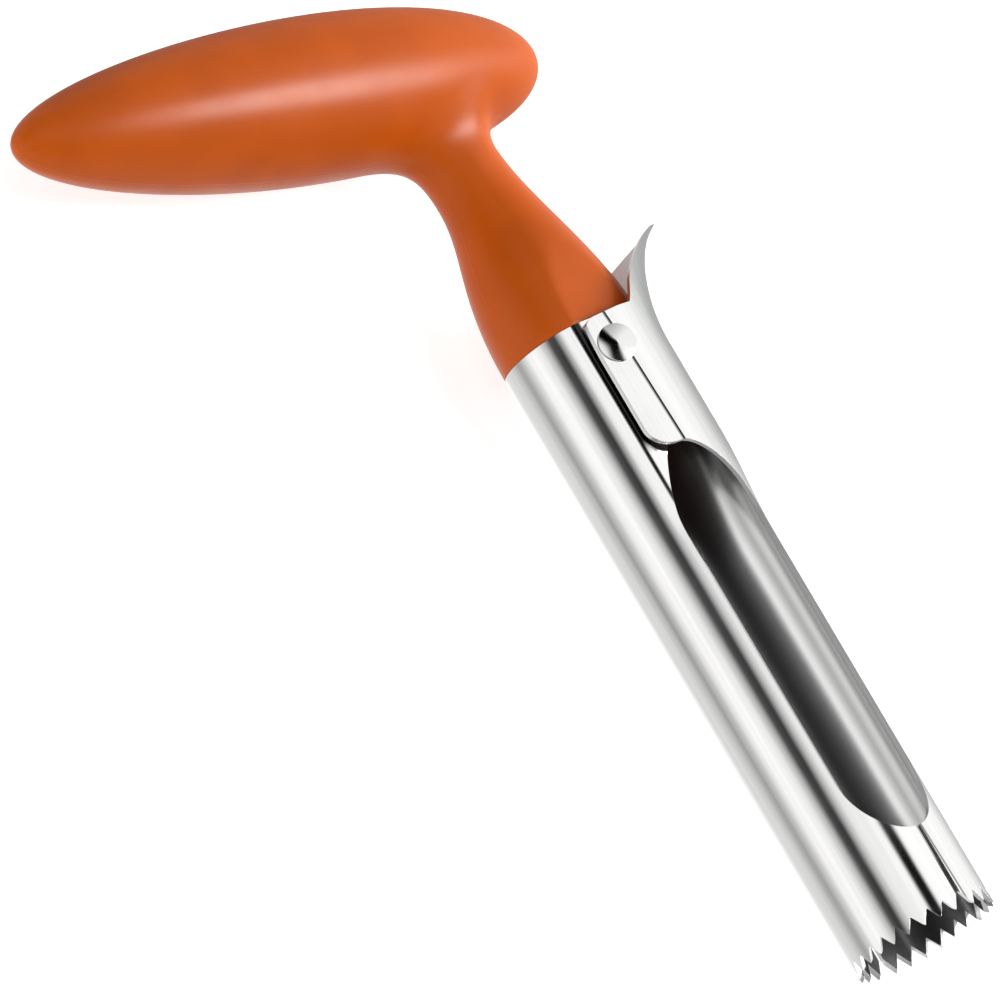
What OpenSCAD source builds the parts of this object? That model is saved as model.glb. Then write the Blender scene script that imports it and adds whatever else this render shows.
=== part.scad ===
// Apple corer: a moulded grip set across a toothed tube that is split in two blades.
// One blade is fixed in the handle, the other is a lever that swings open on a rivet.
// It is drawn upright, with the handle's shoulder at z = 0, the tube below it and the
// lever on the +X side. Each sub-part is then laid on its side, the way it rests.

/* [Tube] */
// Outer diameter of the closed tube
tube_d = 25; // [23:0.5:28]
// Thickness of the blades' sheet steel
sheet = 0.8; // [0.6:0.1:1]
// Length from the handle's shoulder to the tips of the teeth
tube_len = 113.5; // [108:0.5:120]
// Gap between the two blades along each seam
seam_gap = 1; // [0.6:0.1:1.4]

/* [Teeth] */
// Teeth round the mouth, on both blades together
tooth_count = 26; // [20:2:30]
// Height of a tooth from root to tip
tooth_h = 2.4; // [1.8:0.1:3]
// Share of a tooth's pitch that its flat tip keeps, on the inside of the tube
tip_share = 0.04; // [0.03:0.01:0.1]

/* [Side windows] */
// Distance from the tube's axis to the windows' straight edges
window_half = 8.1; // [7:0.1:9]
// Where the straight edges start, below the shoulder
window_top = 40; // [36:0.5:44]
// Where the straight edges end, below the shoulder
window_bottom = 86; // [80:0.5:90]
// Height of the round lower end, down to the seam
window_toe = 12.2; // [9:0.1:14]
// Radius of the upper end in the fixed blade
fixed_arch_r = 26.5; // [22:0.5:30]
// Pull of the upper end's curve in the lever blade, at its top and at its side
lever_arch_lead = 3.5; // [2:0.1:5]
lever_arch_drop = 6; // [4:0.1:8]

/* [Lever] */
// Running clearance between the lever's saddle and the fixed blade
saddle_clear = 0.15; // [0.1:0.05:0.3]
// How far the ears reach back past the tube's axis
ear_reach = 6.4; // [5.8:0.1:6.6]
// Lowest point of the ears, below the shoulder
ear_bottom = 24.8; // [23:0.1:28]
// Radius of the ears' lower corner
ear_toe_r = 4; // [3:0.1:6]
// Radius of the ears' upper corner
ear_top_r = 2.4; // [1.5:0.1:3]
// Step from the shoulder down to the saddle's upper edge
saddle_drop = 0.4; // [0.3:0.1:1]
// Height over which the saddle widens from the tube, below the ears
taper_h = 18; // [12:0.5:24]

/* [Thumb tab] */
// Radius of the outward bend of the tab
tab_bend_r = 23.3; // [20:0.1:28]
// Where the bend starts, below the shoulder
tab_bend_drop = 8; // [6:0.5:10]
// Angle that the tab is bent through at its tip
tab_bend = 65; // [55:1:75]
// Where the tab's edge leaves the saddle's upper edge, ahead of the tube's axis
tab_root = 3.4; // [2:0.1:6]
// Lower control point of the tab's edge, ahead of the tube's axis
tab_low_x = 10; // [8:0.5:13]
// Lower control point of the tab's edge, above the shoulder
tab_low_z = 6.2; // [4:0.1:9]
// Upper control point of the tab's edge, ahead of the tube's axis
tab_high_x = 16; // [14:0.5:20]
// Upper control point of the tab's edge, above the shoulder
tab_high_z = 10.6; // [9:0.1:14]

/* [Rivet] */
// Diameter of the rivet's shank
rivet_d = 3.2; // [2.6:0.1:4]
// Diameter of the rivet's head
head_d = 6.5; // [5.5:0.1:7.5]
// Thickness of the head at its rim
head_rim = 0.6; // [0.4:0.1:0.8]
// Height of the shallow cone on the head
head_cone = 0.4; // [0.2:0.1:0.6]
// Flat centre of the cone
head_flat = 0.8; // [0.6:0.1:1.2]
// Diameter of the formed tail on the far side
tail_d = 3.8; // [3.6:0.1:4.4]
// Thickness of the formed tail
tail_h = 0.3; // [0.2:0.1:0.6]
// Rivet's place behind the tube's axis
rivet_back = 3; // [2.6:0.1:4]
// Rivet's place below the shoulder
rivet_drop = 6; // [5:0.1:8]
// Radial clearance of the shank in its holes
rivet_clear = 0.05; // [0.02:0.01:0.08]
// Play between an end of the rivet and the ear under it
head_play = 0.1; // [0.05:0.05:0.3]

/* [Grip] */
// Half the grip's length
grip_half = 52.4; // [48:0.1:58]
// How far the grip's fullest section lies off the middle of its length
grip_skew = 7.2; // [4:0.1:9]
// Grip's half height at its fullest section
grip_high = 13.4; // [12:0.1:15]
// Grip's half width at its fullest section
grip_wide = 14.75; // [14.7:0.05:16]
// Angle that the grip's long end rises above square
grip_rise = 9; // [5:0.5:12]
// Fullest section's place behind the tube's axis
grip_back = 22; // [19:0.5:25]
// Fullest section's place above the shoulder
grip_up = 53.2; // [50:0.1:58]

/* [Neck] */
// Neck's front radius at the shoulder
shoulder_front_r = 11.75; // [11.2:0.05:12.2]
// Neck's back radius at the waist
waist_back_r = 7.85; // [7:0.05:9]
// Neck's front radius at the waist
waist_front_r = 5.35; // [4.8:0.05:6.5]
// Height of the waist at the back
waist_back_z = 29.5; // [26:0.5:32]
// Height of the waist at the front
waist_front_z = 34; // [31:0.5:36]
// Distance between the flats on the neck's sides, also pressed in the fixed blade
flat_gap = 20.8; // [20:0.1:21]
// Height of the neck's flats
flat_h = 20; // [16:0.5:24]
// Front radius lost over the neck's lower part
shoulder_fall = 0.75; // [0.5:0.05:1]
// Front radius kept above the waist's, below the waist
waist_fill = 0.6; // [0:0.1:1]
// Reach of the web under the grip's long end
web_back = 20; // [16:0.5:24]
// Reach of the web under the grip's short end
web_front = 11; // [9:0.5:13]
// Reach of the web up the grip's sides
web_side = 11.5; // [9:0.5:12]

/* [Spigot] */
// Clearance of the spigot in the fixed blade
spigot_clear = 0.1; // [0.05:0.05:0.2]
// Length of the spigot
spigot_len = 14; // [12:0.5:18]
// Spigot's reach on the lever's side
spigot_front = 10.4; // [9:0.1:11]

/* [Hidden] */
$fn = 96;
tube_r = tube_d / 2;
bore_r = tube_r - sheet;
root_z = tube_len - tooth_h;
saddle_in = tube_r + saddle_clear;
saddle_out = saddle_in + sheet;
tab_axis_x = saddle_out + tab_bend_r;
spigot_r = bore_r - spigot_clear;
hole_d = rivet_d + 2 * rivet_clear;
// Reach of the cutters past what they cut
past = 20;
// Facets: points round the handle, rings in its neck, its web and its grip
around = 96;
neck_rings = 10;
web_rings = 8;
grip_rings = 20;
// Facets in a full turn of the tab's bend
bend_facets = 180;
// Points on an arc and on a free curve of a blade's outline
arc_steps = 10;
curve_steps = 14;
// Even spread of the handle's points between the round neck and the long grip
spread = 1.47;
// Azimuths over which the neck's front meridian turns into its back one
blend_from = 40;
blend_over = 100;
// Heights of the meridians' control points, as shares of the waist's height
front_hold = 0.4;
front_draw = 0.7;
back_hold = 0.54;
back_draw = 0.71;
// Length of the web's tangents at both ends, as a share of its reach
web_pull = 0.5;
// Gap between the ears' edge and the ledge round the fixed blade's flats
ledge_gap = 0.6;
flat_y = flat_gap / 2;
spigot_flat = flat_y - sheet - spigot_clear;

function mix(a, b, t) = a + (b - a) * t;
function unit(v) = v / norm(v);
function ease(t) = let (c = max(0, min(1, t))) c * c * (3 - 2 * c);
function bezier(p, t) =
    pow(1 - t, 3) * p[0] + 3 * pow(1 - t, 2) * t * p[1]
    + 3 * (1 - t) * t * t * p[2] + pow(t, 3) * p[3];
function curve(p) = [for (i = [0:curve_steps]) bezier(p, i / curve_steps)];
function arc(centre, rx, ry, from, to) =
    [for (i = [0:arc_steps])
        let (a = mix(from, to, i / arc_steps)) centre + [rx * cos(a), ry * sin(a)]];

// Upright drawing to the way the corer lies: tube along Y, teeth first, rivet up
module lay() {
    translate([0, root_z, 0]) rotate([-90, 0, 0]) children();
}

// A side outline in X and Z, extruded across the tube
module across(points) {
    rotate([90, 0, 0])
        linear_extrude(height = 2 * (saddle_out + past), center = true) polygon(points);
}

module rivet_bore(d) {
    translate([-rivet_back, 0, -rivet_drop])
        rotate([90, 0, 0]) cylinder(d = d, h = 2 * (saddle_out + past), center = true);
}

// Lower back corner of the ears, or of a line at the distance grow outside them
function ear_toe(grow) =
    arc([ear_toe_r - ear_reach, ear_toe_r - ear_bottom],
        ear_toe_r + grow, ear_toe_r + grow, 270, 180);

// All that lies beside two flats of the half distance flat, behind the ears' outline
module beside_flats(flat, grow) {
    outline = concat(ear_toe(grow), [[-ear_reach - grow, past], [past, past],
                                     [past, -ear_bottom - grow]]);
    for (side = [0, 1])
        mirror([0, side, 0])
            translate([0, flat, 0]) rotate([90, 0, 0]) mirror([0, 0, 1])
                linear_extrude(height = past) polygon(outline);
}

// V notches between the teeth, with one on each seam
module tooth_notches() {
    pitch = 2 * PI * bore_r / tooth_count;
    half = pitch * (1 - tip_share) / 2;
    // The V goes on past the mouth, to twice the height of a tooth
    for (i = [0:tooth_count - 1])
        rotate([0, 0, 90 + i * 360 / tooth_count])
            translate([bore_r / 2, 0, -tube_len])
                rotate([90, 0, 90])
                    linear_extrude(height = tube_r)
                        polygon([[-2 * half, -tooth_h], [2 * half, -tooth_h], [0, tooth_h]]);
}

// The grip is an egg: n is a point of the unit sphere, stretched to the grip's sizes
grip_axis = [-cos(grip_rise), 0, sin(grip_rise)];
grip_top = [sin(grip_rise), 0, cos(grip_rise)];
grip_mid = [-grip_back, 0, grip_up];
function grip_point(n) =
    grip_mid + grip_axis * (grip_half * n[0] + grip_skew * n[0] * n[0])
    + [0, grip_wide * n[1], 0] + grip_top * grip_high * n[2];
function grip_normal(n) = unit(
    grip_axis * n[0] / (grip_half + 2 * grip_skew * n[0])
    + [0, n[1] / grip_wide, 0] + grip_top * n[2] / grip_high);
function grip_share(s) =
    (sqrt(grip_half * grip_half + 4 * grip_skew * s) - grip_half) / (2 * grip_skew);

// Place of the neck along the grip, and the same place on the unit sphere
neck_s = -(grip_back + grip_high * sin(grip_rise)) / cos(grip_rise);
neck_n = [grip_share(neck_s), 0, -sqrt(1 - pow(grip_share(neck_s), 2))];

// Meridian of the neck at azimuth a: radius and height from the shoulder to the waist
function neck_meridian(a) =
    let (k = ease((abs(a) - blend_from) / blend_over),
         front = [[shoulder_front_r, 0],
                  [shoulder_front_r - shoulder_fall, front_hold * waist_front_z],
                  [waist_front_r + waist_fill, front_draw * waist_front_z],
                  [waist_front_r, waist_front_z]],
         back = [[tube_r, 0], [tube_r, back_hold * waist_back_z],
                 [waist_back_r, back_draw * waist_back_z], [waist_back_r, waist_back_z]])
    [for (i = [0:3]) mix(front[i], back[i], k)];
function neck_point(a, t) =
    let (q = bezier(neck_meridian(a), t)) [q[0] * cos(a), q[0] * sin(a), q[1]];

// Where the web at azimuth a runs out on the grip, on the unit sphere
function web_end(a) =
    let (s = neck_s - cos(a) * (abs(a) > 90 ? web_back : web_front),
         x = grip_share(s),
         y = sin(a) * web_side / grip_wide)
    [x, y, -sqrt(1 - x * x - y * y)];
// The web leaves the neck upright and meets the grip along the grip's own surface
function web_point(a, t) =
    let (n = web_end(a),
         foot = neck_point(a, 1),
         edge = grip_point(n),
         away = foot - edge,
         normal = grip_normal(n),
         along = unit(away - normal * (away * normal)),
         reach = norm(away))
    bezier([foot, foot + [0, 0, web_pull * reach], edge + along * web_pull * reach, edge], t);
// Rings on the grip run from the web's end to the pole opposite the neck
function shell_point(a, t) =
    let (n = web_end(a),
         side = unit(n - neck_n * (n * neck_n)),
         turn = mix(acos(n * neck_n), 180, t))
    grip_point(neck_n * cos(turn) + side * sin(turn));

azimuths = [for (i = [0:around - 1])
    let (a = 360 * i / around - 180) atan2(sin(a), spread * cos(a))];
skin_points = concat(
    [for (j = [0:neck_rings - 1]) for (a = azimuths) neck_point(a, j / neck_rings)],
    [for (j = [0:web_rings - 1]) for (a = azimuths) web_point(a, j / web_rings)],
    [for (j = [0:grip_rings - 1]) for (a = azimuths) shell_point(a, j / grip_rings)],
    [grip_point(-neck_n)]);
skin_rings = neck_rings + web_rings + grip_rings;
skin_faces = concat(
    [[for (i = [0:around - 1]) i]],
    [for (j = [0:skin_rings - 2]) for (i = [0:around - 1])
        let (k = (i + 1) % around, low = j * around, high = low + around)
        each [[low + i, high + i, low + k], [low + k, high + i, high + k]]],
    [for (i = [0:around - 1])
        let (k = (i + 1) % around, last = (skin_rings - 1) * around)
        [last + i, len(skin_points) - 1, last + k]]);

// One moulding: grip, neck and the spigot that the fixed blade is riveted round
module handle() {
    color("darkorange") lay() difference() {
        union() {
            difference() {
                polyhedron(skin_points, skin_faces, convexity = 6);
                for (side = [0, 1])
                    mirror([0, side, 0])
                        translate([-past, flat_y, -past]) cube([2 * past, past, past + flat_h]);
            }
            intersection() {
                translate([0, 0, -spigot_len]) cylinder(r = spigot_r, h = spigot_len);
                translate([-past, -spigot_flat, -spigot_len])
                    cube([past + spigot_front, 2 * spigot_flat, spigot_len]);
            }
        }
        rivet_bore(hole_d);
    }
}

// Half of the tube with its half of both windows. Its top has flats pressed in, so that
// the lever's ears can swing over them.
module fixed_blade() {
    arch_x = fixed_arch_r - window_half;
    arch_end = acos(-(arch_x + seam_gap / 2) / fixed_arch_r);
    outline = concat(
        [[-seam_gap / 2, past], [-past, past], [-past, -tube_len - past],
         [-seam_gap / 2, -tube_len - past]],
        arc([0, -window_bottom], window_half, window_toe,
            180 + acos(seam_gap / 2 / window_half), 180),
        arc([arch_x, -window_top], fixed_arch_r, fixed_arch_r, 180, arch_end));
    color("silver") lay() difference() {
        intersection() {
            difference() {
                translate([0, 0, -tube_len]) cylinder(r = tube_r, h = tube_len);
                beside_flats(flat_y, ledge_gap);
                difference() {
                    translate([0, 0, -tube_len - past]) cylinder(r = bore_r, h = tube_len + 2 * past);
                    beside_flats(flat_y - sheet, ledge_gap + sheet);
                }
            }
            across(outline);
        }
        tooth_notches();
        rivet_bore(hole_d);
    }
}

// Section of the saddle, which runs round outside the fixed blade
module saddle_wall_section() {
    difference() {
        circle(saddle_out);
        circle(saddle_in);
    }
}

// Sheet of the lever before its outline is cut: tube, taper, saddle and bent tab
module lever_sheet() {
    taper_z = -ear_bottom - taper_h;
    difference() {
        union() {
            translate([0, 0, -tube_len]) cylinder(r = tube_r, h = tube_len + taper_z);
            translate([0, 0, taper_z]) cylinder(r1 = tube_r, r2 = saddle_out, h = taper_h);
        }
        translate([0, 0, -tube_len - past])
            cylinder(r = bore_r, h = tube_len + past + taper_z);
        translate([0, 0, taper_z]) cylinder(r1 = bore_r, r2 = saddle_in, h = taper_h);
    }
    translate([0, 0, -ear_bottom])
        linear_extrude(height = ear_bottom - tab_bend_drop) saddle_wall_section();
    translate([tab_axis_x, 0, -tab_bend_drop])
        rotate([90, 0, 180])
            rotate_extrude(angle = tab_bend, $fn = bend_facets)
                translate([tab_axis_x, 0]) mirror([1, 0]) saddle_wall_section();
}

// The other half of the tube, one sheet with its saddle, ears and thumb tab
module moving_blade() {
    toe_x = ear_toe_r - ear_reach;
    tip = [tab_axis_x - tab_bend_r * cos(tab_bend), tab_bend_r * sin(tab_bend) - tab_bend_drop];
    outline = concat(
        ear_toe(0),
        arc([ear_top_r - ear_reach, -ear_top_r - saddle_drop], ear_top_r, ear_top_r, 180, 90),
        curve([[tab_root, -saddle_drop], [tab_low_x, tab_low_z], [tab_high_x, tab_high_z], tip]),
        [[tip[0] + past, tip[1]], [tip[0] + past, -tube_len - past],
         [seam_gap / 2, -tube_len - past]],
        arc([0, -window_bottom], window_half, window_toe,
            360 - acos(seam_gap / 2 / window_half), 360),
        curve([[window_half, -window_top], [window_half, lever_arch_drop - window_top],
               [toe_x + lever_arch_lead, -ear_bottom], [toe_x, -ear_bottom]]));
    color("gainsboro") lay() difference() {
        intersection() {
            lever_sheet();
            across(outline);
        }
        tooth_notches();
        rivet_bore(hole_d);
    }
}

// Through rivet that the lever turns on: a coned head on one ear, a formed tail on the other
module pivot_rivet() {
    seat = saddle_out + head_play;
    color("whitesmoke") lay() translate([-rivet_back, 0, -rivet_drop]) rotate([90, 0, 0]) {
        cylinder(d = rivet_d, h = 2 * seat, center = true);
        translate([0, 0, seat]) cylinder(d = head_d, h = head_rim);
        translate([0, 0, seat + head_rim]) cylinder(d1 = head_d, d2 = head_flat, h = head_cone);
        translate([0, 0, -seat - tail_h]) cylinder(d = tail_d, h = tail_h);
    }
}

handle();
fixed_blade();
moving_blade();
pivot_rivet();
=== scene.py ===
import math

import bmesh
import bpy
from mathutils import Matrix, Vector


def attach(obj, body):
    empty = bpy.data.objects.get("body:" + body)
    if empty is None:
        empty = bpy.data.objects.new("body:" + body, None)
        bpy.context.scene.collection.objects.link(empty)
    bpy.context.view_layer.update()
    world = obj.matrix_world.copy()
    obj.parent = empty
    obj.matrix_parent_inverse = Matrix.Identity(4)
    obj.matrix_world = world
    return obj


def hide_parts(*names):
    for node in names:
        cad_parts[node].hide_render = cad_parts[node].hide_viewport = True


# The looks of the apple corer. Shapes are worked out in the upright drawing of the CAD source:
# millimetres, tube down -Z from the handle's shoulder, lever on the +X side.
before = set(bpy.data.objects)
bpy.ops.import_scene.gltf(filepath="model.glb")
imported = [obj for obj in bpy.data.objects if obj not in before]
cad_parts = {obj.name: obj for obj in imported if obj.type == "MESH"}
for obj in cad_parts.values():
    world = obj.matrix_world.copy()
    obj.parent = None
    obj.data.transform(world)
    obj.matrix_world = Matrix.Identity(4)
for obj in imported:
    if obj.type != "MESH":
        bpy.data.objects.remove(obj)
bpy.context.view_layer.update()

# Tube and sheet steel
TUBE_R = 12.5
SHEET = 0.8
BORE_R = TUBE_R - SHEET
TUBE_LEN = 113.5
TOOTH_H = 2.4
ROOT_Z = TUBE_LEN - TOOTH_H
HALF_SEAM = 0.5
TEETH_PER_BLADE = 13
TIP_SHARE = 0.04
TOOTH_GRIND = 0.55
EDGE_ROUND = 0.12

# Side windows
WINDOW_HALF = 8.1
WINDOW_TOP = 40.0
WINDOW_BOTTOM = 86.0
WINDOW_TOE = 12.2
FIXED_ARCH_R = 26.5
LEVER_ARCH_LEAD = 3.5
LEVER_ARCH_DROP = 6.0

# Lever's saddle and ears
SADDLE_CLEAR = 0.15
SADDLE_IN = TUBE_R + SADDLE_CLEAR
SADDLE_OUT = SADDLE_IN + SHEET
EAR_REACH = 6.4
EAR_BOTTOM = 24.8
EAR_TOE_R = 4.0
EAR_TOP_R = 2.4
SADDLE_DROP = 0.4
TAPER_H = 18.0

# The ears are pressed flat between two angles round the tube, measured backwards from its sides:
# from just behind the side to past the ear's back edge
EAR_FLAT_FROM = math.radians(2.5)
EAR_FLAT_TO = math.radians(31.5)
EAR_TILT = (EAR_FLAT_FROM + EAR_FLAT_TO) / 2
EAR_CHORD = math.cos((EAR_FLAT_TO - EAR_FLAT_FROM) / 2)

# Thumb tab
TAB_BEND_R = 23.3
TAB_BEND_DROP = 8.0
TAB_BEND = math.radians(65)
TAB_AXIS_X = SADDLE_OUT + TAB_BEND_R
TAB_ROOT = 3.4
TAB_LOW = (10.0, 6.2)
TAB_HIGH = (16.0, 10.6)
TAB_LIFT = 0.4
TAB_SLANT = 0.1
TAB_SLANT_FADE = 4.0

# Flats pressed in the fixed blade, down to its windows
BLADE_FLAT_Y = 10.65
BLADE_CREASE = 1.1
BLADE_FLAT_END = 40.0
BLADE_FLAT_FADE = 5.0
BLADE_FLAT_BLEND = 2.0

# Flats moulded on the neck
FLAT_Y = 10.4
FLAT_H = 20.0
FLAT_FADE = 3.0
FLAT_SOFTNESS = 0.5

# Rivet
RIVET_X = -3.0
RIVET_Z = -6.0
RIVET_R = 1.6
RIVET_FOOT = 0.05
HEAD_R = 3.25
HEAD_RIM = 0.35
HEAD_CONE = 0.27
HEAD_ROUND = 0.12
HEAD_CORNER = (0.04, 0.03)
HEAD_TIP_R = 0.2
HEAD_TIP_FALL = 0.02
TAIL_R = 1.9
TAIL_H = 0.3
TAIL_CORNER = (0.1, 0.08)
TAIL_DOME = 0.4

# Grip
GRIP_HALF = 52.3
GRIP_SKEW = 7.2
GRIP_HIGH = 13.4
GRIP_WIDE = 14.72
GRIP_RISE = math.radians(9)
GRIP_MID = Vector((-22.0, 0.0, 53.2))

# Neck, with angles in degrees from the lever's side
SHOULDER_FRONT_R = 11.75
SHOULDER_FALL = 0.75
SHOULDER_ROUND = 0.3
WAIST_BACK_R = 7.85
WAIST_FRONT_R = 5.35
WAIST_BACK_Z = 29.5
WAIST_FRONT_Z = 34.0
WAIST_FILL = 0.6
SHOULDER_FRONT_PULL = 0.4
WAIST_FRONT_PULL = 0.7
SHOULDER_BACK_PULL = 0.54
WAIST_BACK_PULL = 0.71
NECK_FRONT_ARC = 40
NECK_BLEND_ARC = 100
WEB_BACK = 20.0
WEB_FRONT = 11.0
WEB_SIDE = 11.5
WEB_PULL = 0.5

# Spigot
SPIGOT_CLEAR = 0.1
SPIGOT_R = BORE_R - SPIGOT_CLEAR
SPIGOT_LEN = 14.0
SPIGOT_FRONT = 10.4
SPIGOT_FLAT = FLAT_Y - SHEET - SPIGOT_CLEAR
SPIGOT_CHAMFER = 0.6

# Fineness of the handle's mesh
AROUND = 240
AROUND_SPREAD = 1.47
SHOULDER_RINGS = 4
NECK_RINGS = 56
WEB_RINGS = 40
GRIP_RINGS = 72
SPIGOT_STEPS = 120

# The neck's rings start where its curve, which first climbs at this pace, clears the rounded shoulder
NECK_PACE = 1.5
NECK_START = SHOULDER_ROUND / WAIST_BACK_Z / NECK_PACE

# Fineness of the blades' and the rivet's meshes
TOOTH_COLUMNS = 12
COLUMNS = TEETH_PER_BLADE * TOOTH_COLUMNS
CORNER_STEPS = 24
TOE_STEPS = 28
ARCH_STEPS = 36
TAB_STEPS = 60
TAB_ROWS = 48
BEND_HALVINGS = 30
FIXED_ROW = 0.45
SADDLE_ROW = 1.0
SADDLE_END = 46.0
STRAIGHT_ROW = 3.0
TEETH_START = -106.0
TOOTH_ROWS = 10
EDGE_SEGMENTS = 2
RIVET_STEPS = 128

# Finishes of a blade's faces, by their place in its list
INSIDE_FINISH = 1
CUT_FINISH = 2

# Camera: its picture's right, the way back to it from the object, and what it looks at, in metres
CAMERA_RIGHT = Vector((0.716, -0.497, 0.489)).normalized()
CAMERA_BACK = Vector((-0.645, -0.207, 0.735)).normalized()
CAMERA_DISTANCE = 6.0
AIM_LEFT = 0.01168
AIM_DOWN = 0.02508
PICTURE_SIZE = 1000
PIXELS_PER_MM = 6.24
SENSOR = 36.0
FAR_CLIP = 50

# Floor, a light table in metres: it glows, so the shadows on it stay faint
FLOOR_HALF = 3.0
FLOOR_GAP = 0.0001
FLOOR_COLOUR = (0.5, 0.5, 0.5, 1)
FLOOR_ROUGHNESS = 0.9
FLOOR_GLOW = 0.75

# Light tent round the tube: (azimuth on the tube that mirrors it, brightness), from the left
# edge of the picture's tube to its right edge, with a grey card, a black card and a narrow black flag
TENT_BANDS = (
    (-90, 1.0), (-80, 0.96), (-72, 0.74), (-60, 0.68), (-54, 0.55), (-48, 0.34), (-42, 0.6),
    (-36, 0.94), (-30, 1.0), (-24, 0.84), (-19, 0.5), (-15, 0.07), (-10, 0.03), (-6, 0.5),
    (-2, 0.8), (6, 0.9), (12.6, 0.98), (15.4, 0.0), (21, 0.0), (23.6, 1.0), (52, 1.0), (62, 1.0),
    (74, 0.68), (82, 0.52), (90, 0.4),
)
TENT_TURN = math.radians(41.3)
TENT_STRENGTH = 1.12
TENT_ENDS = 0.48
TENT_END_FADE = (0.28, 0.62)
BACKDROP_COLOUR = (0.95, 0.95, 0.95, 1)

# Lamps: name, direction from the grip, length and width in metres, power in watts.
# The broad softbox shows as the highlight on the grip, the fills only light the moulding.
LAMP_DISTANCE = 1.2
KEY_DIRECTION = (0.45, -0.37, 0.8)
HIGHLIGHT_LAMP = ("key_softbox", KEY_DIRECTION, 0.7, 0.5, 27.0)
FILL_LAMPS = (
    ("key_fill", KEY_DIRECTION, 0.6, 0.3, 7.0),
    ("front_fill", (0.93, -0.15, 0.35), 0.6, 0.4, 15.5),
    ("back_fill", (-0.93, -0.1, 0.3), 0.6, 0.4, 5.5),
)


def mix(a, b, t):
    """Value at share t of the way from a to b."""
    return a + (b - a) * t


def ease(t):
    """Smooth step from 0 to 1."""
    t = max(0.0, min(1.0, t))
    return t * t * (3 - 2 * t)


def bezier(p, t):
    """Point at t on the cubic curve of four control points."""
    s = 1 - t
    return p[0] * s**3 + p[1] * (3 * s * s * t) + p[2] * (3 * s * t * t) + p[3] * t**3


def bezier_points(p, count):
    """Evenly stepped points of a plane Bezier curve, as (x, z) pairs."""
    points = [Vector(q) for q in p]
    return [tuple(bezier(points, i / count)) for i in range(count + 1)]


def arc_points(centre_x, centre_z, r, start, end, steps):
    """Evenly stepped points of an arc between two angles in degrees, as (x, z) pairs."""
    turns = [math.radians(mix(start, end, i / steps)) for i in range(steps + 1)]
    return [(centre_x + r * math.cos(a), centre_z + r * math.sin(a)) for a in turns]


def lay(p):
    """A point of the upright drawing, in the model's own frame in metres."""
    x, y, z = p
    return (x / 1000, (z + ROOT_Z) / 1000, -y / 1000)


def table_value(points, x):
    """Straight-line lookup of y at x in a list of (x, y) pairs with rising x."""
    if x <= points[0][0]:
        return points[0][1]
    for (x0, y0), (x1, y1) in zip(points, points[1:]):
        if x <= x1:
            return y0 if x1 == x0 else mix(y0, y1, (x - x0) / (x1 - x0))
    return points[-1][1]


def new_piece(name, points, faces, body):
    """A mesh from points of the upright drawing, which rides on a body."""
    mesh = bpy.data.meshes.new(name)
    mesh.from_pydata([lay(p) for p in points], [], faces)
    mesh.validate()
    mesh.update()
    piece = bpy.data.objects.new(name, mesh)
    bpy.context.scene.collection.objects.link(piece)
    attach(piece, body)
    return piece


def face_outwards(piece):
    """Turns the faces of a closed mesh outwards."""
    work = bmesh.new()
    work.from_mesh(piece.data)
    bmesh.ops.recalc_face_normals(work, faces=work.faces)
    work.to_mesh(piece.data)
    work.free()


def smooth(piece, sharp_angle):
    """Shades a piece smoothly, but for edges sharper than the angle in degrees."""
    piece.data.shade_smooth()
    piece.data.set_sharp_from_angle(angle=math.radians(sharp_angle))


def bevel(piece, width, segments, angle):
    """Rounds the edges that are sharper than the angle, in millimetres and degrees."""
    rounding = piece.modifiers.new("rounded_edges", "BEVEL")
    rounding.width = width / 1000
    rounding.segments = segments
    rounding.limit_method = "ANGLE"
    rounding.angle_limit = math.radians(angle)
    rounding.harden_normals = True


def ring_faces(first, rings, around):
    """Faces between closed rings of points that follow one another from the first point on."""
    faces = []
    for j in range(rings - 1):
        low = first + j * around
        for i in range(around):
            k = (i + 1) % around
            faces.append((low + i, low + k, low + around + k, low + around + i))
    return faces


# Handle

GRIP_AXIS = Vector((-math.cos(GRIP_RISE), 0.0, math.sin(GRIP_RISE)))
GRIP_TOP = Vector((math.sin(GRIP_RISE), 0.0, math.cos(GRIP_RISE)))


def grip_point(n):
    """Point of the egg-shaped grip in the direction n of a unit ball."""
    along = GRIP_HALF * n[0] + GRIP_SKEW * n[0] * n[0]
    return GRIP_MID + GRIP_AXIS * along + Vector((0, GRIP_WIDE * n[1], 0)) + GRIP_TOP * (GRIP_HIGH * n[2])


def grip_normal(n):
    """The way that the grip's skin faces in the direction n of the unit ball."""
    along = GRIP_AXIS * (n[0] / (GRIP_HALF + 2 * GRIP_SKEW * n[0]))
    return (along + Vector((0, n[1] / GRIP_WIDE, 0)) + GRIP_TOP * (n[2] / GRIP_HIGH)).normalized()


def grip_share(s):
    """Share along the unit ball of a point that lies s along the grip from its middle."""
    root = math.sqrt(GRIP_HALF * GRIP_HALF + 4 * GRIP_SKEW * s)
    return (root - GRIP_HALF) / (2 * GRIP_SKEW)


# Middle of the neck under the grip: how far along the grip, and its direction on the unit ball
NECK_S = (GRIP_MID.x - GRIP_HIGH * math.sin(GRIP_RISE)) / math.cos(GRIP_RISE)
NECK_N = Vector((grip_share(NECK_S), 0.0, -math.sqrt(1 - grip_share(NECK_S) ** 2)))

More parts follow.
